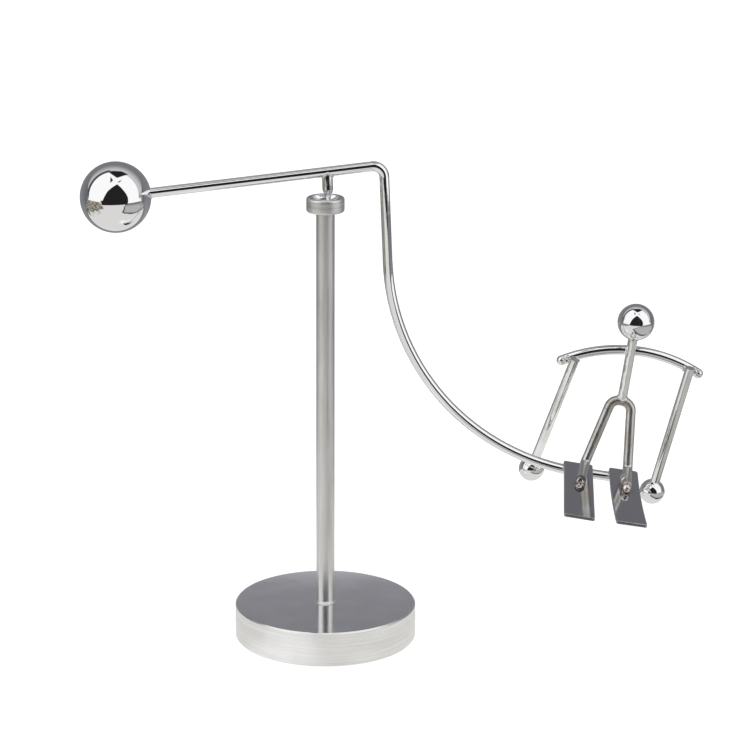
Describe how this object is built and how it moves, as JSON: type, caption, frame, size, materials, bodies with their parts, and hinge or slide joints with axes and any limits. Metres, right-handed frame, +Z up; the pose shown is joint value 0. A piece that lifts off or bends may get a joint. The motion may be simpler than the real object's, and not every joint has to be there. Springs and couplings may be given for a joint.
{
  "type": "balancing toy",
  "caption": "Wire skier and counterweight ball on a bent arm, poised by a pin in the cup of a post on a round base; it rocks and turns freely.",
  "frame": {"origin": "centre of the face that rests on the table, under the post", "axes": "+X along the balance arm towards the skier, +Y away from the way the skier faces, +Z up"},
  "size_m": [0.1689, 0.0576, 0.1348],
  "materials": {
    "satin_steel": "satin, turned",
    "chrome_wire": "mirror chrome",
    "polished_plate": "polished",
    "weld_metal": "rough, heat-tinted and plated over",
    "screw_steel": "plain",
    "pad_foam": "matt foam"
  },
  "bodies": {
    "stand": {"base_disc": "satin_steel", "base_pad": "pad_foam", "base_screw": "screw_steel", "post": "satin_steel"},
    "cup": {"pivot_cup": "satin_steel"},
    "rocker": {"pivot_pin": "chrome_wire", "balance_arm": "chrome_wire", "counterweight_ball": "chrome_wire", "left_ski": "polished_plate", "right_ski": "polished_plate", "leg_wire": "chrome_wire", "torso_rod": "chrome_wire", "shoulder_bar": "chrome_wire", "head_ball": "chrome_wire", "left_pole": "chrome_wire", "right_pole": "chrome_wire", "left_pole_ball": "chrome_wire", "right_pole_ball": "chrome_wire", "left_foot_weld": "weld_metal", "right_foot_weld": "weld_metal"}
  },
  "joints": [
    {"name": "spin", "type": "hinge", "parent": "stand", "child": "cup", "pos_m": [0, 0, 0.1211], "axis": [0, 0, 1], "continuous": true},
    {"name": "rock", "type": "hinge", "parent": "cup", "child": "rocker", "pos_m": [0.00075, 0, 0.1236], "axis": [0, 1, 0], "range_deg": [-25, 22]}
  ]
}
